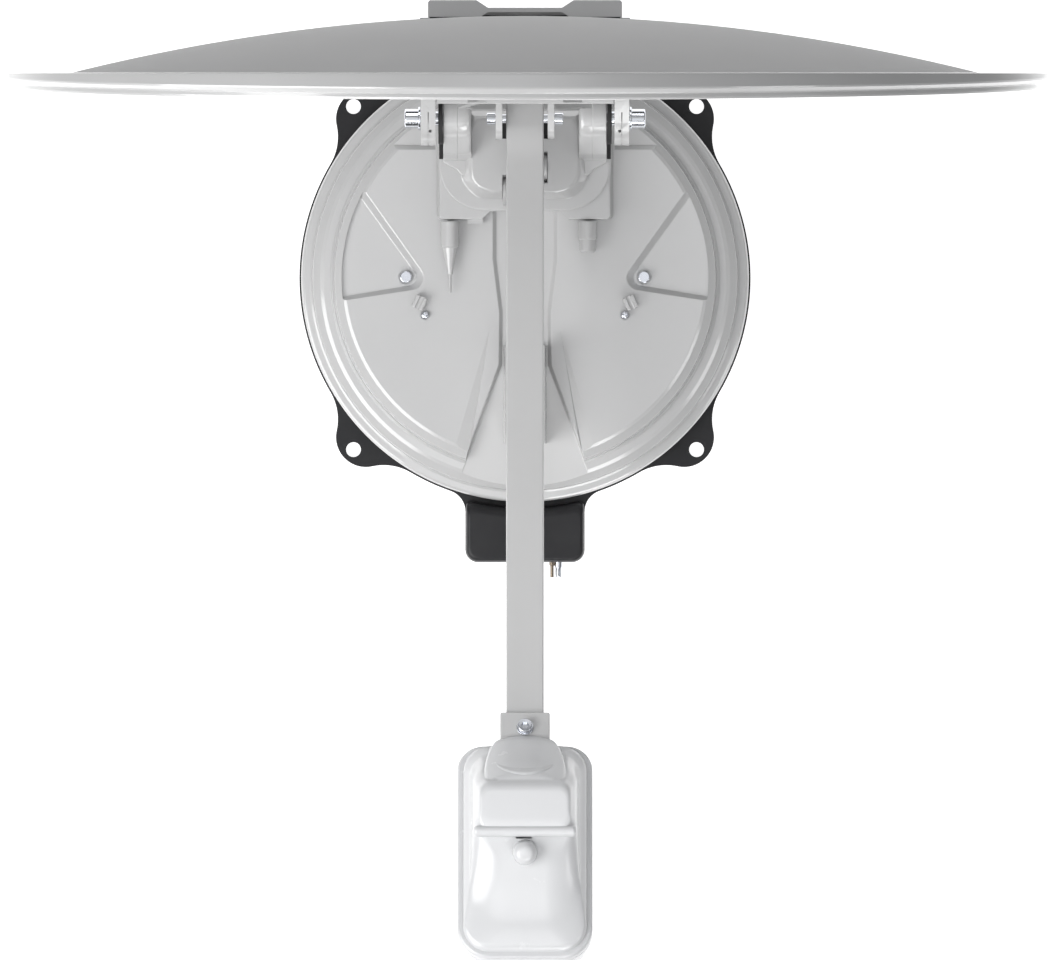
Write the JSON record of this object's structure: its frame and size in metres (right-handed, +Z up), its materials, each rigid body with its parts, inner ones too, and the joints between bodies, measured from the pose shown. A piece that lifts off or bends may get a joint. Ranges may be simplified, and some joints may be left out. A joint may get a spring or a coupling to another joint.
{
  "type": "motorized satellite dish",
  "caption": "Roof-mounted motorized satellite dish: round turntable on a bolt-down base, tilting reflector and folding feed arm with its receiver.",
  "frame": {"origin": "azimuth axis at the underside of the base plate", "axes": "+Z up along the azimuth axis, -Y the way the reflector faces at rest, +X to the right seen from behind the reflector"},
  "size_m": [0.85, 0.7861, 0.96],
  "materials": {
    "grey_paint": "satin powder coat",
    "black_shell": "fine matt texture",
    "white_gloss": "smooth gloss",
    "chrome_metal": "bright plated",
    "screw_steel": "zinc plated",
    "bronze_pin": "dull",
    "dark_rubber": "matt"
  },
  "bodies": {
    "base": {"base_plate": "black_shell", "base_drum": "black_shell", "turntable_bearing": "dark_rubber", "connector_box": "black_shell", "coax_socket": "chrome_metal", "ground_pin": "bronze_pin"},
    "turntable": {"head_cover": "grey_paint", "arm_rest": "grey_paint", "pocket_screw_left": "screw_steel", "pocket_screw_right": "screw_steel", "cable_clip_left": "grey_paint", "cable_clip_right": "grey_paint", "clip_screw_left": "screw_steel", "clip_screw_right": "screw_steel", "tilt_housing": "grey_paint", "housing_cap": "grey_paint", "bearing_tower_left": "grey_paint", "bearing_tower_right": "grey_paint", "bearing_disc_left": "dark_rubber", "bearing_disc_right": "dark_rubber", "cable_gland_left": "grey_paint", "cable_gland_right": "grey_paint", "gland_stub": "dark_rubber"},
    "feed_arm": {"feed_arm_tube": "grey_paint", "arm_clamp": "grey_paint", "clamp_screw": "screw_steel", "lnb_tray": "white_gloss", "lnb_cover": "white_gloss", "horn_window": "white_gloss", "cover_knob": "white_gloss"},
    "dish_carrier": {"carrier_lever_left": "grey_paint", "carrier_lever_right": "grey_paint", "cross_web": "grey_paint", "arm_ear_left": "grey_paint", "arm_ear_right": "grey_paint", "arm_pin": "chrome_metal", "pivot_bolt_left": "chrome_metal", "pivot_bolt_right": "chrome_metal", "dish_holder": "grey_paint", "reflector": "grey_paint"}
  },
  "joints": [
    {"name": "azimuth", "type": "hinge", "parent": "base", "child": "turntable", "pos_m": [0, 0, 0], "axis": [0, 0, 1], "range_deg": [-185, 185]},
    {"name": "elevation", "type": "hinge", "parent": "turntable", "child": "feed_arm", "pos_m": [0, 0.13, 0.12], "axis": [-1, 0, 0], "range_deg": [-20, 40]},
    {"name": "dish_fold", "type": "hinge", "parent": "feed_arm", "child": "dish_carrier", "pos_m": [0, 0.13, 0.12], "axis": [-1, 0, 0], "range_deg": [-70, 0]}
  ]
}
